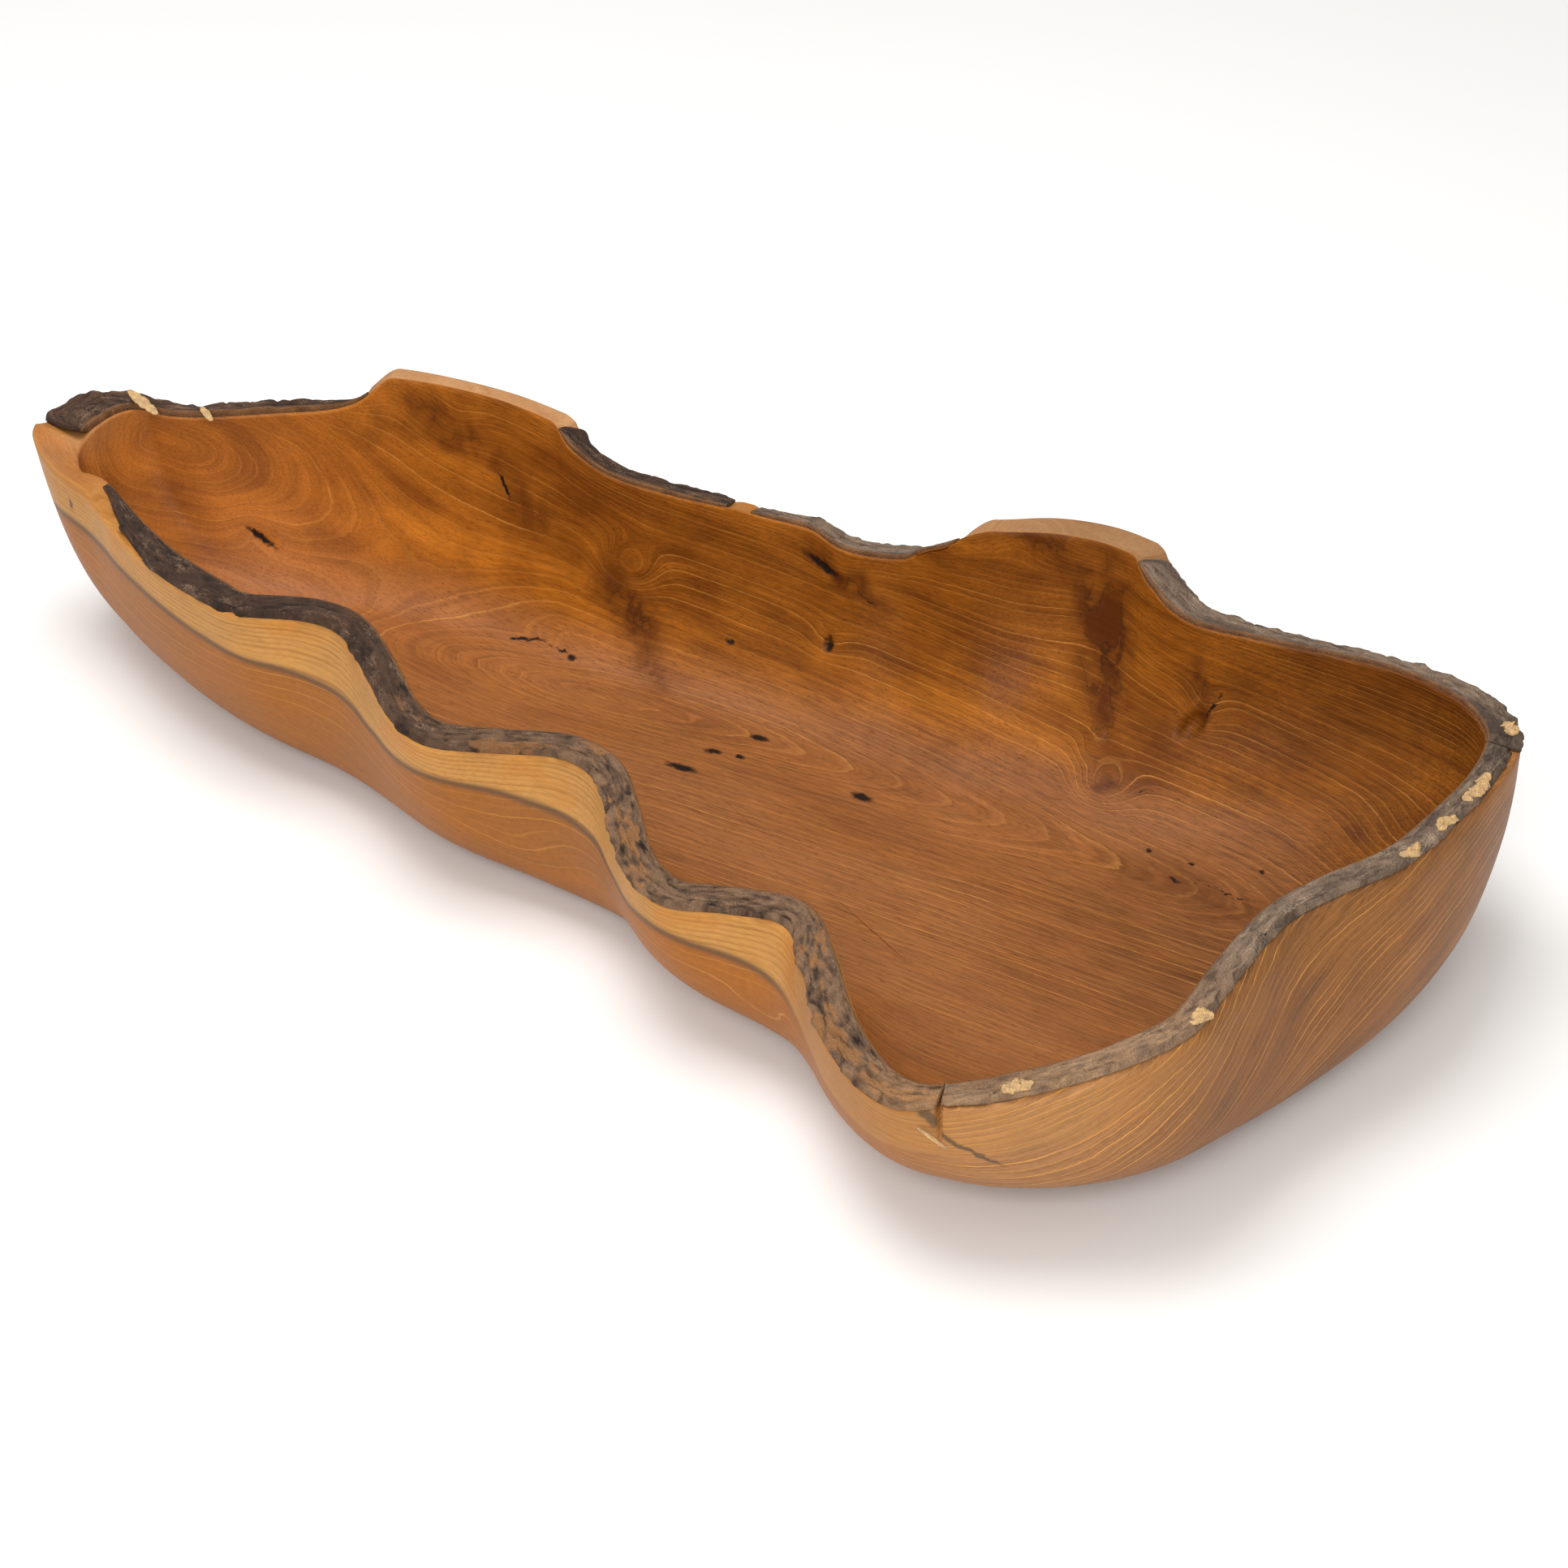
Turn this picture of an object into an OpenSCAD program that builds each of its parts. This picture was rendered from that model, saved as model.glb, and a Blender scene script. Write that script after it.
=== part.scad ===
// Live-edge bowl carved from one block of fluted root wood.
// The wall is one piece of timber. What is left of the tree's bark sits on its rim in strips,
// with a few chips of pale bast, and two lobes of the back wall are sawn flat and bare.
// Frame: +X along the length towards the wide end, +Z up, origin on the table under the bowl.

/* [Overall size] */
// Length from the narrow nose to the wide end
bowl_length = 612; // [480:1:740]
// Width from the near corner to the back wall
bowl_width = 305; // [250:1:370]
// Height of the two flat sawn lobes above the table
bowl_height = 104; // [88:1:130]

/* [Wood] */
// Thickness of the floor over the base
floor_thickness = 14; // [10:0.5:20]
// Fullness of the outer wall, where 2 is an ellipse and more is boxier
belly_fullness = 2.9; // [2.4:0.1:3.2]
// Fullness of the hollow, on the same scale
hollow_fullness = 2.3; // [2:0.1:2.6]
// How far the wide end swells out below its rim
end_swell = 9; // [0:0.5:11]
// How far the rim's outer edge lies below its inner edge
rim_fall = 1.5; // [0:0.5:3]

/* [Bark] */
// Thickness of the bark on the rim
bark_thickness = 3; // [2:0.5:4]
// Thickness of the bark at the end of a strip
bark_feather = 1; // [0.6:0.2:1.6]
// Thickness of a chip of bast
chip_thickness = 1.2; // [0.8:0.2:2]

/* [Crack] */
// Width of the crack at the near corner
crack_width = 1.8; // [1:0.2:3]
// Depth of the crack down the outside of the wall
crack_depth = 19; // [8:1:26]

/* [Hidden] */

// The rim, seen from above and followed from the nose along the front, round the wide end and
// back along the far wall: x and y of the outer edge, height of the rim, width of the rim.
RIM = [
    // nose, bark then bare rounded wood
    [-297, -30, 88, 26], [-291, -48, 85, 21], [-268, -60, 82, 13], [-240, -65, 80, 10],
    // front, first bulge and first flute
    [-212, -76, 79, 11], [-180, -86, 78, 12], [-148, -91, 78, 12], [-128, -92, 79, 11],
    [-100, -82, 82, 11], [-80, -82, 82, 11],
    // front, second bulge and second flute
    [-54, -95, 79, 12], [-34, -104, 74, 12], [-16, -104, 70, 12], [6, -92, 70, 11],
    [30, -85, 74, 11], [52, -90, 76, 11],
    // front, third bulge and third flute
    [72, -105, 74, 12], [92, -119, 68, 12], [112, -122, 64, 12], [134, -114, 66, 11],
    [156, -111, 69, 11],
    // near corner, the lowest part of the rim, with the crack
    [176, -126, 69, 12], [204, -149, 65, 13], [234, -161, 62, 12], [258, -158, 65, 11],
    [282, -140, 72, 11], [303, -120, 81, 11],
    // wide end, with one shallow flute
    [313, -97, 86, 11], [309, -68, 89, 11], [304, -34, 91, 10], [308, -10, 92, 10],
    [315, 20, 92, 10], [313, 55, 91, 10], [307, 90, 89, 10],
    // far corner and the back wall beyond the second lobe
    [298, 120, 88, 13], [276, 139, 88, 14], [244, 142, 88, 10], [212, 138, 87, 10],
    [186, 131, 88, 12], [162, 127, 90, 16], [148, 128, 97, 16],
    // second lobe, sawn flat
    [134, 131, 104, 14], [114, 131, 105, 14], [94, 123, 105, 13], [76, 107, 104, 10],
    // the dip between the lobes, with a small bump halfway
    [62, 103, 94, 10], [44, 104, 84, 11], [22, 96, 83, 12], [4, 93, 87, 10],
    [-20, 85, 88, 9], [-50, 79, 89, 11], [-76, 71, 92, 11], [-92, 69, 98, 11],
    // first lobe, sawn flat
    [-108, 71, 104, 9], [-136, 71, 105, 8], [-164, 66, 105, 8], [-188, 58, 104, 9],
    // back wall beside the nose
    [-204, 47, 93, 10], [-232, 28, 89, 11], [-256, 5, 88, 10], [-278, -3, 89, 13],
    [-292, -14, 90, 23]
];
RIM_LENGTH = 612;
RIM_WIDTH = 305;
RIM_HEIGHT = 104;
stretch = [bowl_length / RIM_LENGTH, bowl_width / RIM_WIDTH, bowl_height / RIM_HEIGHT];

// Round the nose the rim's width is measured towards this point, and elsewhere square to the
// edge; the change is spread over this many millimetres of length beyond it
NOSE_CENTRE = [-240, -32];
NOSE_BLEND = [12, 22];

// Mesh steps: samples for each rim station, rings up the outside and down the hollow
STEPS = 3;
OUTER_RINGS = 11;
INNER_RINGS = 10;
n = len(RIM) * STEPS;

// Egg-shaped edges of the flat base and of the floor: centre, half length, half width at the
// middle, and what the half width gains towards the wide end
BASE = [27, 0, 247, 46, 16];
FLOOR = [28, 2, 215, 40, 18];
EGG_POWER = 3;
// The smooth line of the lower wall is the rim averaged over this many stations,
// and the flutes die out below the rim as this power of the height
FLUTE_SPAN = 7;
FLUTE_POWER = 1.5;
HOLLOW_FLUTE_POWER = 0.8;

// Strips of bark: first and last station, then how many times the plain thickness
NOSE_BARK = [56.67, 62.67, 2];
FRONT_BARK = [3, 24, 1];
END_BARK = [24, 33.67, 1];
BACK_RIGHT_BARK = [33.67, 40.67, 1];
BACK_RIGHT_MID_BARK = [44.67, 49, 1];
BACK_LEFT_MID_BARK = [49.33, 52.67, 1];
STRIPS = [NOSE_BARK, FRONT_BARK, END_BARK, BACK_RIGHT_BARK, BACK_RIGHT_MID_BARK,
          BACK_LEFT_MID_BARK];
BARK_RAMP = 0.8;
// Chips of bast: first and last station, then inner and outer edge as shares of the rim's width
CHIPS = [[24.67, 25, 0.5, 0.9], [27, 27.33, 0.55, 0.9], [31, 31.33, 0.55, 0.9],
         [31.67, 32, 0.55, 0.9], [32.33, 33, 0.4, 0.9], [34, 34.33, 0.55, 0.9]];

// The crack: the rim station it passes, its direction seen from above, and its reach
CRACK_STATION = 24;
CRACK_ANGLE = -67;
CRACK_REACH = [-14, 8];

// The skin starts this far under the table, and the base is then planed flat at the table
PLANED = 0.05;

WOOD = [0.66, 0.40, 0.19];
DARK_BARK = [0.24, 0.18, 0.14];
GREY_BARK = [0.45, 0.42, 0.38];
BAST = [0.86, 0.66, 0.34];

function wrap(i) = (i + 4 * n) % n;
function index(station) = round(station * STEPS);
function unit(v) = v / norm(v);
function outward(along) = [along[1], -along[0]];
function clamp(v) = max(0, min(1, v));

// Catmull-Rom curve through four points, at t from 0 to 1 between the middle two
function curve(a, b, c, d, t) =
    (2 * b + (c - a) * t + (2 * a - 5 * b + 4 * c - d) * t * t
     + (3 * b - a - 3 * c + d) * t * t * t) / 2;
function station(i) = RIM[(i + len(RIM)) % len(RIM)];
rim = [for (i = [0 : n - 1]) let (s = floor(i / STEPS), t = (i % STEPS) / STEPS)
       curve(station(s - 1), station(s), station(s + 1), station(s + 2), t)];

// Plan of the rim's outer edge, and its average over one flute, which is the lower wall's line
edge = [for (p = rim) [p[0] * stretch[0], p[1] * stretch[1]]];
height = [for (p = rim) min(p[2], RIM_HEIGHT) * stretch[2]];
HALF_SPAN = round(FLUTE_SPAN * STEPS / 2);
weights = [for (k = [-HALF_SPAN : HALF_SPAN]) 1 + cos(180 * k / (HALF_SPAN + 1))];
total = weights * [for (w = weights) 1];
function averaged(list, i) =
    weights * [for (k = [-HALF_SPAN : HALF_SPAN]) list[wrap(i + k)]] / total;
smooth_edge = [for (i = [0 : n - 1]) averaged(edge, i)];
smooth_height = [for (i = [0 : n - 1]) averaged(height, i)];
normal = [for (i = [0 : n - 1]) outward(unit(edge[wrap(i + 1)] - edge[wrap(i - 1)]))];
smooth_normal =
    [for (i = [0 : n - 1]) outward(unit(smooth_edge[wrap(i + 1)] - smooth_edge[wrap(i - 1)]))];
function nose_share(p) =
    clamp((NOSE_CENTRE[0] * stretch[0] - NOSE_BLEND[0] - p[0]) / NOSE_BLEND[1]);
function to_nose(p) =
    unit([NOSE_CENTRE[0] * stretch[0] - p[0], NOSE_CENTRE[1] * stretch[1] - p[1]]);
inward = [for (i = [0 : n - 1]) let (k = nose_share(edge[i]))
          unit(to_nose(edge[i]) * k - normal[i] * (1 - k))];
inside = [for (i = [0 : n - 1]) edge[i] + inward[i] * rim[i][3]];
smooth_inside = [for (i = [0 : n - 1]) averaged(inside, i)];

// Thickness of bark over each rim sample: full along a strip, thin at its ends, none if bare
function bark_of(strip, i) = let (s = i / STEPS, d = min(s - strip[0], strip[1] - s) / BARK_RAMP)
    d < -0.01 ? 0
    : bark_feather + (strip[2] * bark_thickness - bark_feather) * sin(90 * clamp(d));
bark = [for (i = [0 : n - 1]) max([for (s = STRIPS) max(bark_of(s, i), bark_of(s, i + n))])];
fall = [for (i = [0 : n - 1]) rim_fall * clamp((bowl_height - height[i]) / 6)];

// Where each sample sits round the bowl, as an angle that runs evenly along the egg
HALF_LENGTH = 306 * stretch[0];
MIDDLE = 10 * stretch[0];
function along(p) = (p[0] - MIDDLE) / HALF_LENGTH;
function around(p) =
    atan2(p[1] / ((110 + 25 * max(-1, min(1, along(p)))) * stretch[1]), along(p));
angle = [for (p = edge) around(p)];
function power(v, k) = sign(v) * pow(abs(v), k);
function egg(e, a) = [
    (e[0] + e[2] * power(cos(a), 2 / EGG_POWER)) * stretch[0],
    (e[1] + (e[3] + e[4] * cos(a)) * power(sin(a), 2 / EGG_POWER)) * stretch[1]];
swell = [for (a = angle) end_swell * pow(max(0, cos(a)), 2)];

// A wall's profile is a quarter of a superellipse: share of the way out, and share of the height
function out_share(t, k) = pow(sin(90 * t), 2 / k);
function up_share(t, k) = 1 - pow(max(0, cos(90 * t)), 2 / k);

function outer_point(i, t) = let (
        a = out_share(t, belly_fullness),
        b = up_share(t, belly_fullness),
        base = egg(BASE, angle[i]),
        plan = base + (smooth_edge[i] - base) * a
               + (edge[i] - smooth_edge[i]) * pow(b, FLUTE_POWER)
               + smooth_normal[i] * swell[i] * sin(180 * b),
        z = smooth_height[i] * b + (height[i] - smooth_height[i]) * b * b,
        top = (bark[i] + fall[i]) * b)
    [plan[0], plan[1], z - top - PLANED * (1 - b)];

function inner_point(i, t) = let (
        a = out_share(t, hollow_fullness),
        b = up_share(t, hollow_fullness),
        base = egg(FLOOR, angle[i]),
        plan = base + (smooth_inside[i] - base) * a
               + (inside[i] - smooth_inside[i]) * pow(b, HOLLOW_FLUTE_POWER),
        rise = height[i] - bark[i] - floor_thickness)
    [plan[0], plan[1], floor_thickness + rise * b];

// Closed skin over rings of points, each ring anticlockwise from above: up the outside, over
// the rim and down the hollow, then a fan to a point on the base and a fan to one on the floor
module carved_solid(rings, base_centre, floor_centre) {
    last = (len(rings) - 1) * n;
    base_index = len(rings) * n;
    points = [for (r = rings) each r, base_centre, floor_centre];
    walls = [for (r = [0 : len(rings) - 2], i = [0 : n - 1]) let (
            a = r * n + i, b = a + n, c = r * n + n + wrap(i + 1), d = r * n + wrap(i + 1))
        each [[a, b, c], [a, c, d]]];
    base_fan = [for (i = [0 : n - 1]) [base_index, i, wrap(i + 1)]];
    floor_fan = [for (i = [0 : n - 1]) [base_index + 1, last + wrap(i + 1), last + i]];
    polyhedron(points, [each walls, each base_fan, each floor_fan], convexity = 8);
}

// Closed ribbon along the rim: rows of section points, outer bottom edge first and inner
// bottom edge last, so that its underside takes the same triangles as the rim below it
module ribbon(rows) {
    m = len(rows[0]);
    top = [for (r = [0 : len(rows) - 2], k = [0 : m - 2]) let (a = r * m + k)
        each [[a, a + 1, a + m + 1], [a, a + m + 1, a + m]]];
    under = [for (r = [0 : len(rows) - 2]) let (o = r * m, i = o + m - 1)
        each [[i, o, i + m], [o, o + m, i + m]]];
    first = [for (k = [m - 1 : -1 : 0]) k];
    end = [for (k = [0 : m - 1]) (len(rows) - 1) * m + k];
    polyhedron([for (r = rows) each r], [each top, each under, first, end], convexity = 4);
}

// Point over the rim at sample i: share v of the way from the inner to the outer edge,
// and share h of the bark's thickness, with any extra lift
function over_rim(i, v, h, lift = 0) = let (
        j = wrap(i),
        plan = inside[j] + (edge[j] - inside[j]) * v)
    [plan[0], plan[1], height[j] - fall[j] * v - bark[j] * (1 - h) + lift];

module bark_strip(strip) {
    shoulder = 0.12;
    ribbon([for (i = [index(strip[0]) : index(strip[1])]) [
        over_rim(i, 1, 0), over_rim(i, 1, 0.65), over_rim(i, 1 - shoulder, 1),
        over_rim(i, shoulder, 1), over_rim(i, 0, 0.65), over_rim(i, 0, 0)]]);
}

module bast_chip(chip) {
    ribbon([for (i = [index(chip[0]) : index(chip[1])]) [
        over_rim(i, chip[3], 1), over_rim(i, chip[3] - 0.06, 1, chip_thickness),
        over_rim(i, chip[2] + 0.06, 1, chip_thickness), over_rim(i, chip[2], 1)]]);
}

// The crack opens from nothing at the inner edge to its full depth on the outside
module crack_slot() {
    i = index(CRACK_STATION);
    margin = 4;
    translate([edge[i][0], edge[i][1], height[i]])
        rotate([90, 0, CRACK_ANGLE])
            linear_extrude(crack_width, center = true)
                polygon([[CRACK_REACH[0], margin], [CRACK_REACH[1], margin],
                         [CRACK_REACH[1], -crack_depth]]);
}

// What the plane takes off under the table
module under_table() {
    depth = 10;
    translate([0, 0, -depth / 2])
        cube([2 * bowl_length, 2 * bowl_width, depth], center = true);
}

module bowl_body() {
    color(WOOD) difference() {
        carved_solid(
            [for (r = [0 : OUTER_RINGS]) [for (i = [0 : n - 1]) outer_point(i, r / OUTER_RINGS)],
             for (r = [INNER_RINGS : -1 : 0]) [for (i = [0 : n - 1]) inner_point(i, r / INNER_RINGS)]],
            [BASE[0] * stretch[0], 0, -PLANED],
            [FLOOR[0] * stretch[0], 0, floor_thickness]);
        crack_slot();
        under_table();
    }
}

module bark_left_nose() {
    color(DARK_BARK) bark_strip(NOSE_BARK);
}

module bark_front() {
    color(DARK_BARK) difference() {
        bark_strip(FRONT_BARK);
        crack_slot();
    }
}

module bark_right_end() {
    color(GREY_BARK) difference() {
        bark_strip(END_BARK);
        crack_slot();
    }
}

module bark_back_right() {
    color(GREY_BARK) bark_strip(BACK_RIGHT_BARK);
}

module bark_back_right_mid() {
    color(GREY_BARK) bark_strip(BACK_RIGHT_MID_BARK);
}

module bark_back_left_mid() {
    color(DARK_BARK) bark_strip(BACK_LEFT_MID_BARK);
}

module bast_chips() {
    color(BAST) for (c = CHIPS) bast_chip(c);
}

bowl_body();
bark_left_nose();
bark_front();
bark_right_end();
bark_back_right();
bark_back_right_mid();
bark_back_left_mid();
bast_chips();
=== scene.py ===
# %% [markdown]
# # A live-edge bowl carved from one block of root wood
# The bowl is one block of fluted timber, hollowed and polished, with strips of the tree's own bark
# left on its wavy rim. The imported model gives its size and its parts. This lesson builds the finer
# surfaces over it: the polished wood with its growth rings and knots, the rough bark, and a few
# chips of pale bast. Lengths are worked out in millimetres and turned into metres at the end.

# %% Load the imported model
from types import SimpleNamespace

import bpy
import numpy as np
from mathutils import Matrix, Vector


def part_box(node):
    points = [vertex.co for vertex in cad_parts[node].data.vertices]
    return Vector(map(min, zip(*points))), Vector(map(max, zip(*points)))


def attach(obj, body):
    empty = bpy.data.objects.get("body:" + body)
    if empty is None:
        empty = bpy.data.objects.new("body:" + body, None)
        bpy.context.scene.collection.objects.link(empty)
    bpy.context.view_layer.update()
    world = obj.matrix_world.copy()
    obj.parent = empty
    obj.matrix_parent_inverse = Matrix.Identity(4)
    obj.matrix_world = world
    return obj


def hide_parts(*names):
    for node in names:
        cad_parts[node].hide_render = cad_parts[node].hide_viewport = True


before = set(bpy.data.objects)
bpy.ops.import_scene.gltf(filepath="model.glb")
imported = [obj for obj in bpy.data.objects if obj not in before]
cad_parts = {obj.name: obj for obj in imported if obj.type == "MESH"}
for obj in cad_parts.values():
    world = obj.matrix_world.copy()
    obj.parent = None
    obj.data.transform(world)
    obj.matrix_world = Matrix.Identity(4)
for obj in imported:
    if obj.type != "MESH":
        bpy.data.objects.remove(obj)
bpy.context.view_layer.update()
MM = 0.001

# %% [markdown]
# ## Camera, light and table
# The camera stands to the right and above, as one stands at a table's corner. One wide soft box
# hangs overhead and another stands in front, so that the hollow keeps its depth without hard
# shadows. The table is plain and pale.

# %% Camera
TARGET = Vector((0.080, -0.020, 0.048))
CAMERA_AWAY = Vector((0.7885, -0.9396, 0.7370))
SENSOR = 36.0
LENS = 91.3


def aim(thing, target):
    """Turns a camera or light, whose front is its own -Z, towards a point."""
    thing.rotation_euler = (Vector(target) - thing.location).to_track_quat("-Z", "Y").to_euler()


camera = bpy.data.objects.new("camera", bpy.data.cameras.new("camera"))
camera.data.sensor_width = SENSOR
camera.data.lens = LENS
camera.location = TARGET + CAMERA_AWAY
aim(camera, TARGET)
bpy.context.scene.collection.objects.link(camera)
bpy.context.scene.camera = camera
bpy.context.scene.view_settings.view_transform = "Standard"
print("camera", round(CAMERA_AWAY.length, 3), "m from the bowl")

# %% Lights


def soft_box(name, place, size, power):
    """A square area light aimed at the bowl."""
    light = bpy.data.lights.new(name, "AREA")
    light.size = size
    light.energy = power
    thing = bpy.data.objects.new(name, light)
    thing.location = place
    aim(thing, (0, 0, 0.05))
    bpy.context.scene.collection.objects.link(thing)


soft_box("overhead_box", (-0.3, -0.1, 1.8), 1.2, 22)
soft_box("front_box", (1.1, -1.7, 1.25), 1.0, 30)
world = bpy.data.worlds.new("studio")
world.use_nodes = True
world.node_tree.nodes["Background"].inputs["Color"].default_value = (1.0, 0.985, 0.96, 1)
world.node_tree.nodes["Background"].inputs["Strength"].default_value = 0.55
bpy.context.scene.world = world
print("two soft boxes and a pale room")

# %% [markdown]
# ## Shader arithmetic
# A wood finish is mostly arithmetic on a few numbers: how deep a point lies under the bark, where it
# is, and how near it is to a knot. Written node by node that is hard to read. This small class
# wraps a socket, so that `1 - mask` adds the Math node that it stands for.

# %% Sockets that add up


class Number:
    """A number that changes over a surface: one output socket of a finish's node tree."""

    def __init__(self, finish, socket):
        self.finish = finish
        self.socket = socket

    def _math(self, operation, *terms):
        return self.finish.node("ShaderNodeMath", {"operation": operation}, dict(enumerate(terms)))

    def __add__(self, other):
        return self._math("ADD", self, other)

    def __sub__(self, other):
        return self._math("SUBTRACT", self, other)

    def __rsub__(self, other):
        return self._math("SUBTRACT", other, self)

    def __mul__(self, other):
        return self._math("MULTIPLY", self, other)

    def __truediv__(self, other):
        return self._math("DIVIDE", self, other)

    __radd__ = __add__
    __rmul__ = __mul__

    def exp(self):
        return self._math("EXPONENT", self)

    def floor(self):
        return self._math("FLOOR", self)

    def max(self, other):
        return self._math("MAXIMUM", self, other)

    def min(self, other):
        return self._math("MINIMUM", self, other)

    def step(self, low, high):
        """0 below low, 1 above high and an S-curve between; low above high turns it round."""
        settings = {"interpolation_type": "SMOOTHSTEP"}
        return self.finish.node("ShaderNodeMapRange", settings, {0: self, 1: low, 2: high})


class Finish:
    """A material being built: its node tree, and the few calls that add nodes to it."""

    def __init__(self, name):
        self.material = bpy.data.materials.new(name)
        self.material.use_nodes = True
        self.tree = self.material.node_tree
        self.shader = self.tree.nodes["Principled BSDF"]
        self.place = self.vector("SCALE", self.node("ShaderNodeTexCoord", output="Object"),
                                 scale=1 / MM)

    def node(self, kind, settings=None, inputs=None, output=0):
        """Adds a node, sets it up, then gives its sockets their values or links."""
        made = self.tree.nodes.new(kind)
        for key, value in (settings or {}).items():
            setattr(made, key, value)
        for key, value in (inputs or {}).items():
            self.put(made.inputs[key], value)
        return Number(self, made.outputs[output])

    def put(self, socket, value):
        if isinstance(value, Number):
            self.tree.links.new(value.socket, socket)
        elif hasattr(value, "__len__") and len(value) == 3 and socket.type == "RGBA":
            socket.default_value = (*value, 1)
        else:
            socket.default_value = value

    def vector(self, operation, a, b=None, scale=None):
        """Vector arithmetic: the result is a vector, or a number for a length or dot product."""
        inputs = {0: a}
        if b is not None:
            inputs[1] = b
        if scale is not None:
            inputs["Scale"] = scale
        output = "Value" if operation in ("LENGTH", "DOT_PRODUCT") else "Vector"
        return self.node("ShaderNodeVectorMath", {"operation": operation}, inputs, output)

    def attribute(self, name):
        return self.node("ShaderNodeAttribute", {"attribute_name": name}, output="Fac")

    def noise(self, pace, detail=2.0, shift=0.0, place=None):
        """Smooth noise about 0, from -0.5 to 0.5; pace is how many waves a millimetre holds."""
        spot = self.vector("MULTIPLY", place or self.place, pace)
        if shift:
            spot = self.vector("ADD", spot, (shift, shift, shift))
        inputs = {"Vector": spot, "Scale": 1.0, "Detail": detail}
        return self.node("ShaderNodeTexNoise", None, inputs) - 0.5

    def mix(self, a, b, share):
        """Colour a turning into colour b as share goes from 0 to 1."""
        inputs = {0: share, 6: a, 7: b}
        return self.node("ShaderNodeMix", {"data_type": "RGBA"}, inputs, output=2)

    def tint(self, colour, amount):
        """A colour made lighter or darker by a number about 1."""
        return self.vector("SCALE", colour, scale=amount)

    def split(self, vector, index):
        """One of the other outputs of the node that made a number."""
        return Number(self, vector.socket.node.outputs[index])

    def near_stroke(self, start, end, width, place=None):
        """Distance from a lens-shaped stroke, in half widths: 1 on its edge. The way from the
        stroke's middle is squeezed along the stroke, so that its ends come as near as its sides."""
        run = np.subtract(end, start).astype(float)
        length = max(np.linalg.norm(run), 1e-6)
        squeeze = max(0.0, 1 - width / (length / 2 + width))
        away = self.vector("SUBTRACT", place or self.place, tuple(np.add(start, end) / 2))
        along = self.vector("DOT_PRODUCT", away, tuple(run / length)) * squeeze
        away = self.vector("SUBTRACT", away, self.vector("SCALE", tuple(run / length), scale=along))
        return self.vector("LENGTH", away) / width

    def near_blob(self, centre, reach):
        """1 at a centre, falling as a bell that is about reach millimetres wide each way."""
        away = self.vector("SUBTRACT", self.place, centre)
        away = self.vector("DIVIDE", away, reach)
        return (self.vector("DOT_PRODUCT", away, away) * -1).exp()

    def surface(self, colour, roughness, height=None, depth=0.0, **fixed):
        """Feeds the shader: colour and roughness over the surface, a bump, and fixed values."""
        self.put(self.shader.inputs["Base Color"], colour)
        self.put(self.shader.inputs["Roughness"], roughness)
        for key, value in fixed.items():
            self.shader.inputs[key.replace("_", " ")].default_value = value
        if height is not None:
            bump = self.node("ShaderNodeBump", None, {"Height": height, "Distance": depth})
            self.put(self.shader.inputs["Normal"], bump)
        return self.material


print("shader arithmetic is ready")

# %% Table


def table_finish():
    f = Finish("pale_table")
    cloudy = f.noise((0.004, 0.004, 0.004))
    return f.surface(f.tint((0.90, 0.895, 0.885), cloudy * 0.02 + 1), 0.75)


def table_top(half=6.0, steps=12):
    """A flat grid just under the base: x and y run evenly from -half to half."""
    line = np.linspace(-half, half, steps + 1)
    x, y = np.meshgrid(line, line)
    points = np.stack([x, y, np.full_like(x, -0.0002)], -1).reshape(-1, 3)
    corner = (np.arange(steps)[:, None] * (steps + 1) + np.arange(steps)).reshape(-1, 1)
    faces = corner + np.array([0, 1, steps + 2, steps + 1])
    mesh = bpy.data.meshes.new("table_top")
    mesh.from_pydata(points.tolist(), [], faces.tolist())
    thing = bpy.data.objects.new("table_top", mesh)
    thing.data.materials.append(table_finish())
    bpy.context.scene.collection.objects.link(thing)


table_top()
print("a pale table under the bowl")

# %% [markdown]
# ## The rim
# Everything follows the rim, because that is where the carver's two cuts, outside and inside, meet
# the bark. It could be drawn as a freehand curve. Here it is a smooth closed curve through 62
# stations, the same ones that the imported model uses, so that the fine surface lies on the plain one.

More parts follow.
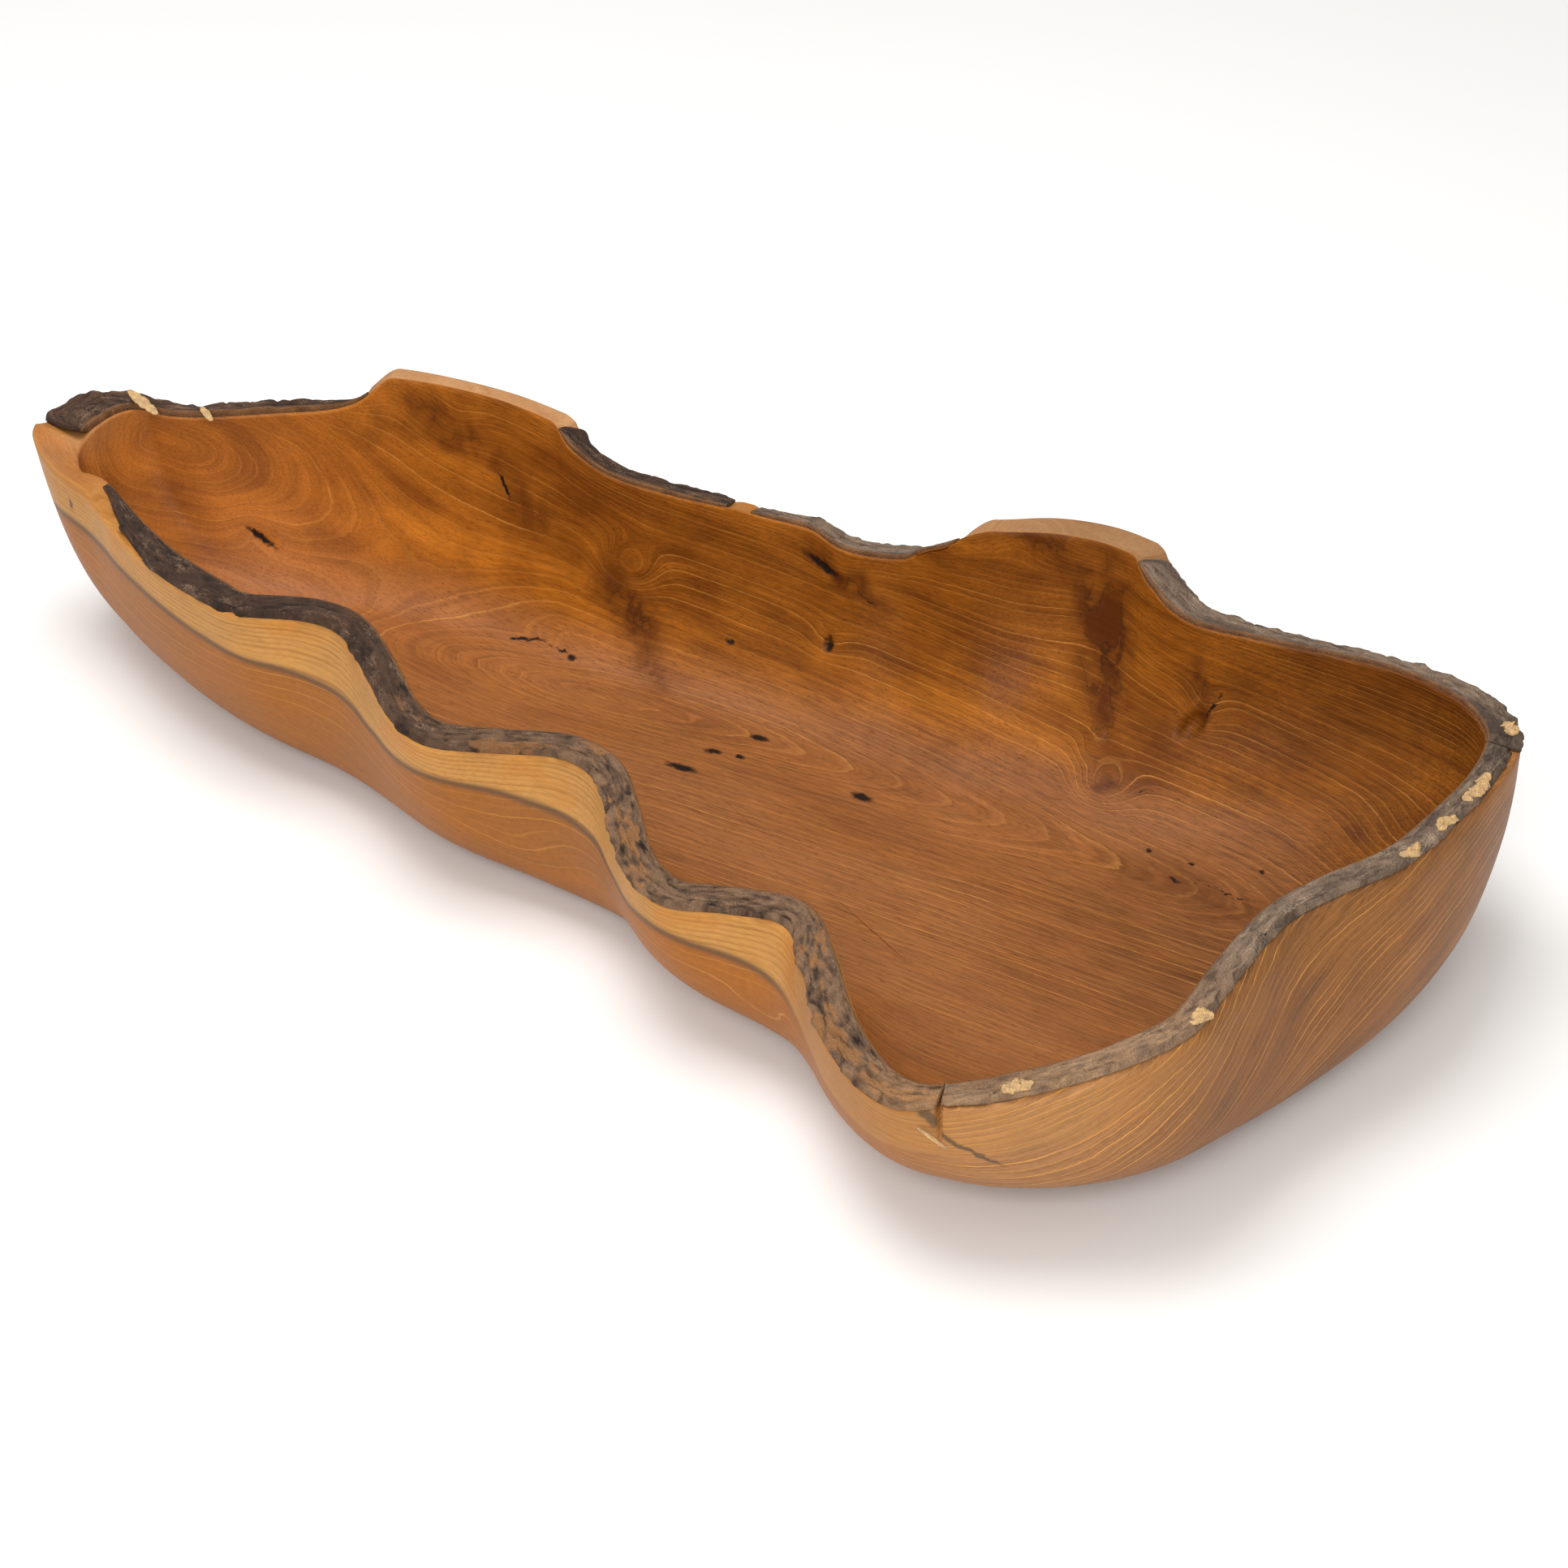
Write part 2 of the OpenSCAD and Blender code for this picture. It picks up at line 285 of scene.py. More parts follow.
# %% Stations of the rim
# x and y of the outer edge, height, width of the rim, anticlockwise from the nose.
RIM = np.array([
    # nose, bark then bare rounded wood
    [-297, -30, 88, 26], [-291, -48, 85, 21], [-268, -60, 82, 13], [-240, -65, 80, 10],
    # front, first bulge and first flute
    [-212, -76, 79, 11], [-180, -86, 78, 12], [-148, -91, 78, 12], [-128, -92, 79, 11],
    [-100, -82, 82, 11], [-80, -82, 82, 11],
    # front, second bulge and second flute
    [-54, -95, 79, 12], [-34, -104, 74, 12], [-16, -104, 70, 12], [6, -92, 70, 11],
    [30, -85, 74, 11], [52, -90, 76, 11],
    # front, third bulge and third flute
    [72, -105, 74, 12], [92, -119, 68, 12], [112, -122, 64, 12], [134, -114, 66, 11],
    [156, -111, 69, 11],
    # near corner, with the crack
    [176, -126, 69, 12], [204, -149, 65, 13], [234, -161, 62, 12], [258, -158, 65, 11],
    [282, -140, 72, 11], [303, -120, 81, 11],
    # wide end, with one shallow flute
    [313, -97, 86, 11], [309, -68, 89, 11], [304, -34, 91, 10], [308, -10, 92, 10],
    [315, 20, 92, 10], [313, 55, 91, 10], [307, 90, 89, 10],
    # far corner and the back wall beyond the second lobe
    [298, 120, 88, 13], [276, 139, 88, 14], [244, 142, 88, 10], [212, 138, 87, 10],
    [186, 131, 88, 12], [162, 127, 90, 16], [148, 128, 97, 16],
    # second lobe, sawn flat
    [134, 131, 104, 14], [114, 131, 105, 14], [94, 123, 105, 13], [76, 107, 104, 10],
    # the dip between the lobes, with a small bump halfway
    [62, 103, 94, 10], [44, 104, 84, 11], [22, 96, 83, 12], [4, 93, 87, 10],
    [-20, 85, 88, 9], [-50, 79, 89, 11], [-76, 71, 92, 11], [-92, 69, 98, 11],
    # first lobe, sawn flat
    [-108, 71, 104, 9], [-136, 71, 105, 8], [-164, 66, 105, 8], [-188, 58, 104, 9],
    # back wall beside the nose
    [-204, 47, 93, 10], [-232, 28, 89, 11], [-256, 5, 88, 10], [-278, -3, 89, 13],
    [-292, -14, 90, 23]], float)
STATIONS = len(RIM)
LOBE_HEIGHT = 104.0
FINE = 24                       # samples for each station of the finely drawn rim
FLUTE_SPAN = 7                  # the lower wall follows the rim averaged over this many stations
NOSE_CENTRE = np.array([-240.0, -32.0])
NOSE_BLEND = (12.0, 22.0)
RIM_FALL = 1.5                  # the outer edge lies this far under the inner edge
BARK, FEATHER, BARK_RAMP = 3.0, 1.0, 0.8
# Strips of bark: first and last station, then how many times the plain thickness
STRIPS = {"bark_left_nose": (56.67, 62.67, 2.0), "bark_front": (3, 24, 1.0),
          "bark_right_end": (24, 33.67, 1.0), "bark_back_right": (33.67, 40.67, 1.0),
          "bark_back_right_mid": (44.67, 49, 1.0), "bark_back_left_mid": (49.33, 52.67, 1.0)}


def curve_through(points, s):
    """The closed Catmull-Rom curve: between two stations, the cubic that leaves each of them along
    the line that joins its neighbours."""
    i = np.floor(s).astype(int)
    t = (s - i)[:, None]
    a, b, c, d = (points[(i + k) % len(points)] for k in (-1, 0, 1, 2))
    return (2 * b + (c - a) * t + (2 * a - 5 * b + 4 * c - d) * t**2
            + (3 * b - a - 3 * c + d) * t**3) / 2


def averaged(values):
    """Average round the rim under a raised cosine that is FLUTE_SPAN stations wide."""
    half = round(FLUTE_SPAN * FINE / 2)
    steps = np.arange(-half, half + 1)
    weights = 1 + np.cos(np.pi * steps / (half + 1))
    return sum(w * np.roll(values, -k, 0) for w, k in zip(weights / weights.sum(), steps))


def unit(v):
    return v / np.linalg.norm(v, axis=-1, keepdims=True)


def outward(line):
    """Direction square to a closed line in plan, away from the bowl."""
    run = unit(np.roll(line, -1, 0) - np.roll(line, 1, 0))
    return np.stack([run[:, 1], -run[:, 0]], 1)


def bark_depth(strip, s):
    """Thickness of a strip: it rises as a quarter sine from a feather edge over BARK_RAMP."""
    first, last, times = strip
    inset = np.minimum(s - first, last - s) / BARK_RAMP
    rise = np.sin(np.pi / 2 * np.clip(inset, 0, 1))
    return np.where(inset < -0.01, 0, FEATHER + (times * BARK - FEATHER) * rise)


def egg_angle(edge):
    """Angle round the bowl that runs evenly along an egg of the bowl's own proportions."""
    run = (edge[:, 0] - 10) / 306
    return np.arctan2(edge[:, 1] / (110 + 25 * np.clip(run, -1, 1)), run)


def draw_rim():
    """Every line that the walls need, at FINE samples for each station."""
    s = np.arange(STATIONS * FINE) / FINE
    table = curve_through(RIM, s)
    edge, height, width = table[:, :2], np.minimum(table[:, 2], LOBE_HEIGHT), table[:, 3:4]
    nose = np.clip((NOSE_CENTRE[0] - NOSE_BLEND[0] - edge[:, :1]) / NOSE_BLEND[1], 0, 1)
    inward = unit(unit(NOSE_CENTRE - edge) * nose - outward(edge) * (1 - nose))
    inside = edge + inward * width
    bark = np.max([np.maximum(bark_depth(p, s), bark_depth(p, s + STATIONS))
                   for p in STRIPS.values()], 0)
    smooth = averaged(edge)
    angle = np.unwrap(egg_angle(edge))
    lines = [edge, inside, smooth, averaged(inside), outward(smooth), height[:, None],
             averaged(height)[:, None], bark[:, None],
             RIM_FALL * np.clip((LOBE_HEIGHT - height) / 6, 0, 1)[:, None],
             np.cos(angle)[:, None], np.sin(angle)[:, None]]
    return np.hstack(lines)


RIM_LINES = draw_rim()
print("rim drawn with", len(RIM_LINES), "samples, length",
      round(np.linalg.norm(np.diff(RIM_LINES[:, :2], axis=0), axis=1).sum()), "mm")


class Rim:
    """The rim's lines at any station numbers, straight between the fine samples."""

    def __init__(self, s):
        self.s = np.asarray(s, float)
        at = self.s * FINE
        i = np.floor(at).astype(int)
        t = (at - i)[:, None]
        count = len(RIM_LINES)
        v = RIM_LINES[i % count] * (1 - t) + RIM_LINES[(i + 1) % count] * t
        self.edge, self.inside, self.smooth_edge, self.smooth_inside = (
            v[:, k:k + 2] for k in (0, 2, 4, 6))
        self.smooth_normal = v[:, 8:10]
        (self.height, self.smooth_height, self.bark, self.fall, self.cos,
         self.sin) = (v[:, k:k + 1] for k in range(10, 16))


# %% [markdown]
# ## The carved body
# A turned bowl could be a spun profile, but this one is lofted: at each place round the rim the wall
# is a quarter of a superellipse, from an egg-shaped base or floor out to the rim. High on the wall
# the curve keeps the rim's flutes, and lower down it follows the rim's average, so the flutes die
# out as they do on the real timber. The grid is one closed skin: base, outside, rim, hollow, floor.

# %% Walls
BASE = (27, 0, 247, 46, 16)     # centre, half length, half width, gain towards the wide end
FLOOR = (28, 2, 215, 40, 18)
FLOOR_HEIGHT = 14.0
EGG_POWER = 3
BELLY, HOLLOW = 2.9, 2.3        # fullness of the two walls, where 2 is an ellipse
FLUTE_POWER, HOLLOW_FLUTE_POWER = 1.5, 0.8
END_SWELL = 9.0
LIP = 0.35                      # the hollow's lip is this share of the bark's thickness below its top


def signed_power(v, k):
    return np.sign(v) * np.abs(v)**k


def egg(shape, rim):
    """The egg-shaped edge of the base or floor: a superellipse wider towards the wide end."""
    x, y, half_length, half_width, gain = shape
    return np.hstack([x + half_length * signed_power(rim.cos, 2 / EGG_POWER),
                      y + (half_width + gain * rim.cos) * signed_power(rim.sin, 2 / EGG_POWER)])


def shares(t, fullness):
    """Share of the way out and share of the height, for t from 0 to 1 up the wall."""
    out = np.sin(np.pi / 2 * t)**(2 / fullness)
    up = 1 - np.clip(np.cos(np.pi / 2 * t), 0, 1)**(2 / fullness)
    return out, up


def outside_ring(rim, t):
    a, b = shares(t, BELLY)
    base = egg(BASE, rim)
    swell = END_SWELL * np.clip(rim.cos, 0, 1)**2
    plan = (base + (rim.smooth_edge - base) * a + (rim.edge - rim.smooth_edge) * b**FLUTE_POWER
            + rim.smooth_normal * swell * np.sin(np.pi * b))
    z = rim.smooth_height * b + (rim.height - rim.smooth_height) * b**2 - (rim.bark + rim.fall) * b
    return np.hstack([plan, z])


def hollow_ring(rim, t):
    a, b = shares(t, HOLLOW)
    base = egg(FLOOR, rim)
    plan = (base + (rim.smooth_inside - base) * a
            + (rim.inside - rim.smooth_inside) * b**HOLLOW_FLUTE_POWER)
    return np.hstack([plan, FLOOR_HEIGHT + (rim.height - LIP * rim.bark - FLOOR_HEIGHT) * b])


def even_steps(ring, rim, count):
    """Values of t that space the rings evenly up a wall, by its mean length so far."""
    t = np.linspace(0, 1, 240)
    rings = np.array([ring(rim, v) for v in t])
    lengths = np.linalg.norm(np.diff(rings, axis=0), axis=2).mean(1)
    so_far = np.concatenate([[0], np.cumsum(lengths)])
    return np.interp(np.linspace(0, so_far[-1], count), so_far, t)


def crowded(low, high, count, places, width, gain):
    """Numbers from low to high that crowd round some places: even steps of the running total of
    1 + gain * bell, with one bell of that width at each place."""
    v = np.linspace(low, high, 6000)
    density = 1 + gain * sum(np.exp(-((v - p) / width)**2) for p in places)
    total = np.concatenate([[0], np.cumsum((density[1:] + density[:-1]) / 2)])
    return np.interp(np.linspace(0, total[-1], count, endpoint=False), total, v)


CRACK_STATION = 24.0
COLUMNS = 900
columns = Rim(crowded(0, STATIONS, COLUMNS, [CRACK_STATION, 38.6, 40.0, 47.6, 51.2, 54.0],
                      0.16, 3.0))


def between(v, start, end, ramp):
    """1 from start to end, with an S-curve down to 0 over ramp on each side."""
    t = np.clip(np.minimum(v - start, end - v) / ramp + 1, 0, 1)
    return t * t * (3 - 2 * t)


ARRIS = (0.0, 0.04, 0.12, 0.25, 0.5, 0.88, 0.96)   # share of the way over, from the outside
EASED = (0.5, 0.15, 0.0, 0.0, 0.0, 0.0, 0.15)      # how far each of those rows is worn down
SHOULDER = 2.4                  # bare wood rounded over outside the bark at the wide end
NOSE_DROOP = 6.5                # the bare rim at the nose is rounded over into the hollow


def bowl_rings(rim, outside_rows=34, hollow_rows=56, floor_rows=12):
    """All rings of the body's skin from the base up, over the rim and down to the floor."""
    base = egg(BASE, rim)
    middle = np.array([[BASE[0], BASE[1]]])
    under = [np.hstack([middle + (base - middle) * k, 0 * rim.height]) for k in (0.3, 0.7)]
    outside = [outside_ring(rim, t) for t in even_steps(outside_ring, rim, outside_rows)[:-1]]
    low, high = outside_ring(rim, 1.0), hollow_ring(rim, 1.0)
    droop = NOSE_DROOP * between(rim.s, 1.1, 1.9, 1.1)[:, None] * [[0, 0, 1]]
    shoulder = SHOULDER * between(rim.s, 25.2, 32.4, 0.8)[:, None] * [[0, 0, 1]]
    over = [low + (high - low) * [v, v, v**5] - [0, 0, worn] - droop * v**1.6
            - shoulder * max(0.0, 1 - v / 0.3)**2 for v, worn in zip(ARRIS, EASED)]
    steps = even_steps(hollow_ring, rim, hollow_rows)[::-1]
    hollow = [hollow_ring(rim, t) - droop * shares(t, HOLLOW)[1]**3 for t in steps]
    hollow[0] = hollow[0] - [0, 0, EASED[0]]
    edge = hollow[-1][:, :2]
    middle = np.array([[FLOOR[0], FLOOR[1]]])
    inward = 1 - (np.arange(1, floor_rows) / floor_rows)**0.9
    floor = [np.hstack([middle + (edge - middle) * k, 0 * rim.height + FLOOR_HEIGHT])
             for k in inward]
    rows = {"under": len(under), "outside": len(outside), "over": len(over),
            "hollow": len(hollow), "floor": len(floor)}
    return np.array(under + outside + over + hollow + floor), rows


rings, rows = bowl_rings(columns)
print("body grid", rings.shape, rows)

# %% [markdown]
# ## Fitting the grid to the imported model
# The stations hold the design's own sizes. If the model is packed at another size, the same factor
# applies along each axis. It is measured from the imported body's box, not assumed.

# %% Fit
low, high = (np.array(corner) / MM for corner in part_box("bowl_body"))
own_low, own_high = rings.reshape(-1, 3).min(0), rings.reshape(-1, 3).max(0)
FIT = (high - low) / (own_high - own_low)
print("packed size over drawn size:", FIT.round(4))


def placed(points):
    """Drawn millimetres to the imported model's metres."""
    return points * FIT * MM


# %% Noise


def clouds(points, size, seed):
    """Smooth noise from -1 to 1: random numbers on a cubic lattice with cells of that size, blended
    between the eight corners of a cell by the S-curve 3t^2 - 2t^3."""
    table = np.random.default_rng(seed).uniform(-1, 1, (32, 32, 32))
    spot = points / np.asarray(size, float)
    cell = np.floor(spot).astype(int)
    t = spot - cell
    t = t * t * (3 - 2 * t)
    total = 0
    for corner in np.ndindex(2, 2, 2):
        weight = np.prod(np.where(corner, t, 1 - t), -1)
        total = total + weight * table[tuple(np.moveaxis((cell + corner) % 32, -1, 0))]
    return total


def heaped(points, size, seed, layers=3):
    """Clouds of clouds: each layer is half the size and half the strength of the last."""
    return sum(clouds(points, np.asarray(size) / 2**k, seed + k) / 2**k for k in range(layers))


# %% Skins


def closed_skin(name, rings, values=None, finish=None):
    """A closed mesh from rings of points, with a fan to the middle of the first and last ring.
    values are numbers for each point of the grid, kept as named attributes of the mesh."""
    count, around = rings.shape[:2]
    ends = np.array([rings[0].mean(0), rings[-1].mean(0)])
    points = np.concatenate([rings.reshape(-1, 3), ends])
    r = np.arange(count - 1)[:, None] * around
    i = np.arange(around)
    following = (i + 1) % around
    walls = np.stack([r + i, r + following, r + around + following, r + around + i], -1)
    last = (count - 1) * around
    first_fan = np.stack([0 * i + count * around, following, i], -1)
    last_fan = np.stack([0 * i + count * around + 1, last + i, last + following], -1)
    mesh = bpy.data.meshes.new(name)
    mesh.from_pydata(placed(points).tolist(), [],
                     walls.reshape(-1, 4).tolist() + first_fan.tolist() + last_fan.tolist())
    mesh.polygons.foreach_set("use_smooth", np.ones(len(mesh.polygons), bool))
    for key, grid in (values or {}).items():
        grid = np.broadcast_to(grid, (count, around)).astype(np.float32)
        whole = np.concatenate([grid.ravel(), [grid[0].mean(), grid[-1].mean()]])
        mesh.attributes.new(key, "FLOAT", "POINT").data.foreach_set("value", whole)
    thing = bpy.data.objects.new(name, mesh)
    bpy.context.scene.collection.objects.link(thing)
    if finish:
        mesh.materials.append(finish)
    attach(thing, "root")
    print(name, len(mesh.vertices), "points")
    return thing


def grid_normals(rings):
    """Outward direction at each grid point: the cross product of the ways round and onward."""
    onward = np.gradient(rings, axis=0)
    around = np.roll(rings, -1, 1) - np.roll(rings, 1, 1)
    return unit(np.cross(around, onward) + 1e-12)


# %% [markdown]
# ## Pits, knots and the crack
# A few holes go right into the wood: a resin hole, slits beside the knots, worm holes, and the crack
# at the near corner. A bump can't give them an edge that catches the light, so the skin itself is
# pressed in along its normal. Each pit is a stroke between two points with a width and a depth.

# %% Press the pits in
# start, end, half width, depth, all in millimetres
PITS = [
    ((168, 106, 47), (171, 108, 51), 3.2, 3.5),      # resin hole
    ((-76, 57, 50), (-66, 57, 43), 1.8, 1.8),        # slits beside the ring knot
    ((-62, 56, 40), (-57, 56, 37), 1.6, 1.4),
    ((138, 97, 37), (140, 98, 41), 1.4, 1.4),        # slit above the big knot
    ((20, 78, 44), (20, 78, 41), 2.2, 1.6),          # small knot
    ((10, 83, 74), (24, 85, 68), 1.3, 1.0),          # black knot streak
    ((-135, 61, 70), (-131, 60, 64), 1.0, 1.0),      # burl crack
    ((-164, 37, 22), (-164, 37, 22), 1.2, 1.5),      # worm hole
    ((-229, 8, 38), (-219, 12, 31), 1.6, 1.0),       # slit knot
]
CRACK_DEPTH = 19.0


def stroke_distance(points, start, end, width):
    """Distance from a lens-shaped stroke, in half widths, squeezed along it as in the finish."""
    run = np.subtract(end, start).astype(float)
    length = max(np.linalg.norm(run), 1e-6)
    away = points - np.add(start, end) / 2
    along = (away @ run) / length * max(0.0, 1 - width / (length / 2 + width))
    return np.linalg.norm(away - along[..., None] * run / length, axis=-1) / width


def pressed(rings):
    """The skin with carving ripples and pits: a slow wave of a few tenths of a millimetre, and for
    each pit a bell-shaped dent along the inward normal."""
    normal = grid_normals(rings)
    moved = 0.35 * clouds(rings, (46, 30, 26), 4)[..., None] * normal
    for start, end, width, depth in PITS:
        dent = depth * np.exp(-stroke_distance(rings, start, end, width)**4)
        moved = moved - dent[..., None] * normal
    return rings + moved


def cracked(rings, rim, rows):
    """The crack: at its station the outside and the rim are drawn in towards the hollow, most at the
    top and nothing at its lower tip, over a notch less than a millimetre wide each way."""
    at = int(np.argmin(np.abs(rim.s - CRACK_STATION)))
    edge_run = np.linalg.norm(rim.edge - rim.edge[at], axis=1)
    last = rows["under"] + rows["outside"] + rows["over"]
    part = rings[:last]
    below = rim.height[at] - part[..., 2]
    open_share = np.clip(1 - below / CRACK_DEPTH, 0, 1)
    notch = np.exp(-(edge_run[None] / (0.35 + 0.75 * open_share))**4) * (open_share > 0)
    inward = unit(rim.inside[at] - rim.edge[at])
    pull = notch * open_share * 7.0
    part[..., :2] += pull[..., None] * inward
    part[..., 2] -= notch * open_share * 3.5
    return rings


rings = cracked(pressed(rings), columns, rows)
print("pits pressed in:", len(PITS), "and one crack")

# %% [markdown]
# ## Growth rings as a number
# A growth ring is a shell round the log. If every point of the skin knows how deep in the log it
# lies, the lines where the carver cut through the rings are simply that number's contours: close and
# parallel under the rim, long loops on the floor. So the depth is worked out here for each point of
# the grid, and the finish draws the contours finely between the points.

# %% Depth under the bark
# the log's centre line in the hollow: x, y and z, from its tip in the nose to the wide end
CENTRE_LINE = np.array([(-262, -8, 76), (-60, 28, 14), (20, 44, 2), (150, 58, -14), (300, 70, -26)])
END_CENTRE = (90.0, -20.0)      # y and z of the centre of the ovals that cross the wide end


def ring_depths(rings, rim, rows):
    """Depth of each point's growth ring. In the hollow it falls with the distance from the log's
    centre line, so the rings run along the bowl and close in loops at the nose. Outside it is the
    depth below the rim, and on the wide end the rings are ovals, because the cut crosses the log."""
    outside_rows = rows["under"] + rows["outside"] + rows["over"]
    x, y, z = np.moveaxis(rings, -1, 0)
    below = np.broadcast_to(rim.height[:, 0], x.shape) - z
    line = [np.interp(x, CENTRE_LINE[:, 0], CENTRE_LINE[:, k]) for k in (1, 2)]
    past_tip = np.minimum(x - CENTRE_LINE[0, 0], 0)
    hollow = 92 - 1.1 * np.sqrt(past_tip**2 + (y - line[0])**2 + (z - line[1])**2)
    low = np.clip(below / 45, 0, 1)
    smooth_below = np.broadcast_to(rim.smooth_height[:, 0], x.shape) - z
    outside = below * (1 - low) + smooth_below * low
    ovals = 182 - np.hypot((y - END_CENTRE[0]) * 0.65, z - END_CENTRE[1])
    wide_end = np.clip((x - 225) / 70, 0, 1)
    outside = outside * (1 - wide_end) + ovals * wide_end
    in_hollow = (np.arange(len(rings)) >= outside_rows)[:, None] * np.ones_like(x)
    bare_rim = slice(outside_rows - 5, outside_rows)
    in_hollow[bare_rim] = between(rim.s, 1.1, 2.5, 0.5)
    return np.where(in_hollow > 0.5, hollow, outside), below, in_hollow


ring_depth, below_rim, in_hollow = ring_depths(rings, columns, rows)
sawn = np.zeros(rings.shape[:2])
top_row = rows["under"] + rows["outside"]
sawn[top_row + 1:top_row + rows["over"]] = np.clip((columns.height[:, 0] - 99) / 3, 0, 1)
print("rings from", round(float(ring_depth.min())), "to", round(float(ring_depth.max())), "mm deep")

# %% [markdown]
# ## Oiled root wood
# The wood is teak-like: orange-brown heartwood with a thin pale line at the start of each ring, short
# dark pores along the grain, and a band of straw-coloured sapwood under the bark. An oil finish
# leaves it satin. Rings, knots and stains are drawn at the scale of the real ones.

# %% Colours and marks
HEART = (0.180, 0.050, 0.0040)
AMBER = (0.375, 0.119, 0.0100)
RUSSET = (0.080, 0.018, 0.0020)
# the hollow's floor colour: a sheen painted in as a paler, less saturated tone
PAINTED_FLOOR_SHEEN = (0.290, 0.112, 0.040)
PALE_LINE = (0.620, 0.280, 0.060)
NEARLY_BLACK = (0.014, 0.006, 0.003)
STRAW = (0.500, 0.250, 0.068)
STRAW_LINE = (0.250, 0.095, 0.020)
TAN = (0.275, 0.100, 0.022)
UMBER = (0.150, 0.058, 0.020)
SLATE = (0.075, 0.052, 0.034)
DUSTY = (0.380, 0.215, 0.105)
SAWN = (0.480, 0.250, 0.110)

# knots that bend the rings: centre, reach, and how far they push the rings
KNOTS = [
    ((-66, 58, 54), (12, 9, 10), -24), ((146, 85, 22), (13, 10, 10), -19),
    ((20, 78, 44), (10, 8, 8), -6), ((-228, 8, 37), (14, 9, 9), -6),
    ((-98, 40, 16), (20, 7, 7), -5), ((90, 106, 101), (13, 12, 9), 12),
    ((-160, 60, 90), (14, 10, 11), -10), ((134, 93, 32), (6, 6, 6), -5),
    ((172, 110, 56), (8, 8, 10), -7), ((20, 84, 74), (14, 9, 7), -7),
    ((14, -92, 24), (30, 20, 14), -12), ((149, -115, 24), (26, 20, 12), -12),
    ((-130, -88, 24), (30, 20, 12), 8), ((120, 118, 70), (26, 20, 26), 10),
    ((-235, -50, 60), (30, 20, 16), 7), ((258, 96, 46), (30, 20, 26), -16),
]
# dark strokes in the hollow: start, end, half width
STROKES = [
    ((168, 106, 47), (171, 108, 51), 2.8), ((173, 110, 52), (177, 114, 62), 0.7),
    ((-76, 57, 50), (-66, 57, 43), 1.5), ((-62, 56, 40), (-57, 56, 37), 1.3),
    ((138, 97, 37), (140, 98, 41), 1.2), ((20, 78, 44), (20, 78, 41), 1.8),
    ((6, 83, 75), (20, 85, 69), 1.7), ((20, 85, 68), (34, 87, 62), 0.9),
    ((-136, 61, 71), (-131, 60, 64), 0.9), ((-229, 8, 38), (-219, 12, 31), 1.2),
    ((-114, 36, 16), (-98, 43, 17), 0.8), ((-98, 43, 17), (-84, 42, 16), 0.7),
    ((-112, 35, 16), (-96, 36, 16), 0.7),
    ((-83, 42, 15), (-81, 42, 15), 1.6), ((2, 7, 14), (10, 8, 14), 2.2),
    ((6, 24, 14), (9, 25, 14), 1.7), ((17, 28, 14), (19, 28, 14), 1.2),
    ((12, 43, 14), (17, 44, 14), 1.5), ((70, 35, 14), (74, 35, 14), 2.2),
    ((178, 70, 16), (179, 70, 16), 0.9), ((195, 72, 16), (196, 72, 16), 0.9),
    ((194, 62, 15), (198, 61, 15), 0.8), ((221, 80, 19), (222, 80, 18), 1.1),
    ((-21, 67, 34), (-20, 67, 34), 1.3), ((203, 66, 15), (228, 64, 16), 0.35),
    ((158, 87, 22), (167, 89, 19), 0.8), ((158, 88, 24), (162, 90, 26), 0.6),
]
# soft stains in the hollow: start, end, half width, strength
STAINS = [
    ((-78, 60, 46), (-42, 48, 20), 9, 0.85), ((-176, 52, 96), (-138, 60, 74), 8, 0.75),
    ((-140, 60, 74), (-92, 62, 48), 10, 0.60), ((6, 83, 77), (40, 88, 60), 6, 0.80),
    ((118, 117, 92), (136, 100, 42), 12, 1.00), ((82, 104, 103), (106, 112, 100), 7, 0.90),
    ((168, 112, 72), (170, 108, 48), 6, 0.80), ((146, 85, 22), (146, 85, 22), 5, 0.80),
    ((205, 118, 60), (285, 84, 50), 30, 0.34), ((-86, 60, 76), (-66, 60, 52), 8, 0.30),
    ((70, 100, 60), (30, 84, 40), 20, 0.30), ((165, 100, 44), (146, 92, 30), 14, 0.40),
    ((-30, 74, 62), (40, 80, 34), 16, 0.25), ((30, 60, 20), (120, 70, 22), 12, 0.30),
    ((-205, 44, 84), (-175, 52, 84), 8, 0.35), ((190, 60, 16), (260, 54, 20), 14, 0.30),
]
# dark strokes outside: the stain that runs on from the crack, and a small knot by the nose
OUTSIDE_STROKES = [
    ((257, -158, 53), (274, -144, 40), 1.0), ((-254, -62, 70), (-253, -62, 67), 1.1),
    ((251, -161, 64), (257, -158, 56), 2.2),
]
# painted shadow: the crack's opening is painted nearly black along its groove
PAINTED_CRACK_SHADOW = [((258.4, -157.2, 67), (258.6, -157, 50), 0.55)]

# %% The finish


def growth_lines(f, depth, below):
    """Splits the depth into rings, which crowd together just under the rim, and returns how much a
    point is in the pale line that starts a ring, how far it is through it, and the ring's vigour."""
    turns = depth / 3.1 + (1 - (below.max(0.0) / -9.0).exp()) * 6.0
    whole = turns.floor()
    through = turns - whole
    vigour = f.node("ShaderNodeTexWhiteNoise", {"noise_dimensions": "1D"}, {"W": whole})
    line = 1 - through.step(0.03, 0.17)
    fading = (f.noise((0.018, 0.05, 0.05), 2, 19.0) * 2.6 + 0.70).max(0.12).min(1.0)
    return line * (vigour * vigour * 0.85 + 0.10) * fading, through, vigour


